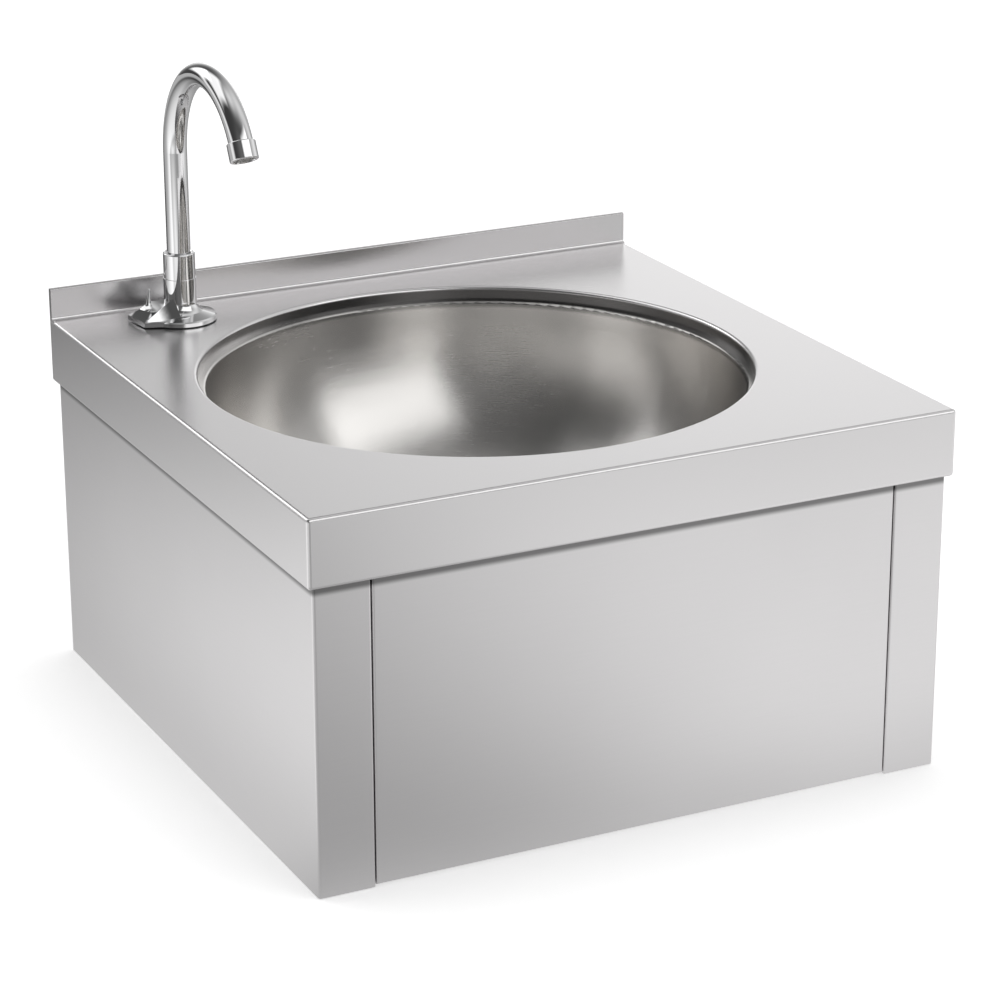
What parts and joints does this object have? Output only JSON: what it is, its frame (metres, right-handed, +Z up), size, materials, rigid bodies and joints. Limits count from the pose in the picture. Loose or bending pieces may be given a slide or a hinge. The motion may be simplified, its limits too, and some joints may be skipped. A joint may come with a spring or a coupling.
{
  "type": "hand wash sink",
  "caption": "Wall-hung stainless steel hand wash sink: square deck with round bowl, swan-neck spout, rear upstand and a knee panel that pushes a self-closing valve.",
  "frame": {"origin": "centre of the footprint, on the plane of the base", "axes": "+X to the right seen from the front, +Y to the wall behind the sink, +Z up"},
  "size_m": [0.4, 0.4, 0.3908],
  "materials": {
    "sheet_steel": "brushed",
    "bowl_steel": "satin, spun",
    "bracket_steel": "mill",
    "chrome": "polished",
    "waste_chrome": "polished",
    "zinc": "zinc plated",
    "spring_steel": "drawn wire",
    "brass": "machined",
    "copper": "drawn copper tube",
    "fibre": "pressed fibre",
    "rubber": "matt",
    "nylon": "matt",
    "knob_plastic": "matt",
    "screw_steel": "plain",
    "waste_plastic": "matt"
  },
  "bodies": {
    "root": {"deck": "sheet_steel", "left_side_panel": "sheet_steel", "right_side_panel": "sheet_steel", "bowl": "bowl_steel", "crossbar": "bracket_steel", "rear_rail": "bracket_steel", "pivot_pins": "bracket_steel", "pivot_clips": "bracket_steel", "tap_washer": "bracket_steel", "tap_foot": "chrome", "tap_collar": "chrome", "waste_grid": "waste_chrome", "waste_screw": "waste_chrome", "valve_spring": "spring_steel", "valve_body": "brass", "valve_nut": "brass", "valve_bonnet": "brass", "union_nut": "brass", "mixer_body": "brass", "inlet_nipples": "brass", "pipe_nuts": "brass", "pipe_tails": "brass", "tap_shank": "brass", "tap_locknut": "brass", "supply_pipe": "copper", "union_gasket": "fibre", "pipe_gaskets": "fibre", "tap_gasket": "rubber", "tap_seal": "rubber", "waste_seal": "rubber", "waste_gasket": "rubber", "check_valves": "nylon", "waste_body": "waste_plastic"},
    "knee_panel": {"knee_panel": "sheet_steel", "pusher_bracket": "bracket_steel", "pusher_bolt": "zinc", "pusher_nuts": "zinc", "pivot_bushes": "nylon", "stop_buffers": "rubber"},
    "valve_button": {"valve_button": "brass"},
    "mixer_knob": {"mixer_knob": "knob_plastic", "knob_screw": "screw_steel"},
    "spout": {"spout": "chrome", "spout_snap_ring": "spring_steel", "spout_orings": "rubber", "aerator_housing": "chrome", "aerator_seal": "rubber", "aerator_insert": "nylon"}
  },
  "joints": [
    {"name": "knee_panel_hinge", "type": "hinge", "parent": "root", "child": "knee_panel", "pos_m": [0, -0.1885, 0.2], "axis": [1, 0, 0], "range_deg": [0, 4.5], "stiffness_Nm_per_rad": 12, "springref_deg": -3.44},
    {"name": "valve_button_slide", "type": "slide", "parent": "root", "child": "valve_button", "axis": [0, 1, 0], "range_m": [0, 0.012], "stiffness_N_per_m": 600, "springref_m": -0.012, "deforming": ["valve_spring"]},
    {"name": "mixer_knob_turn", "type": "hinge", "parent": "root", "child": "mixer_knob", "pos_m": [0.0791, -0.0925, 0.025], "axis": [0, 0, 1], "range_deg": [-60, 60]},
    {"name": "spout_swivel", "type": "hinge", "parent": "root", "child": "spout", "pos_m": [-0.1275, 0.164, 0.24], "axis": [0, 0, 1], "range_deg": [-100, 100]}
  ],
  "couplings": [
    {"joint": "valve_button_slide", "follows": "knee_panel_hinge", "m_per_rad": 0.15}
  ]
}
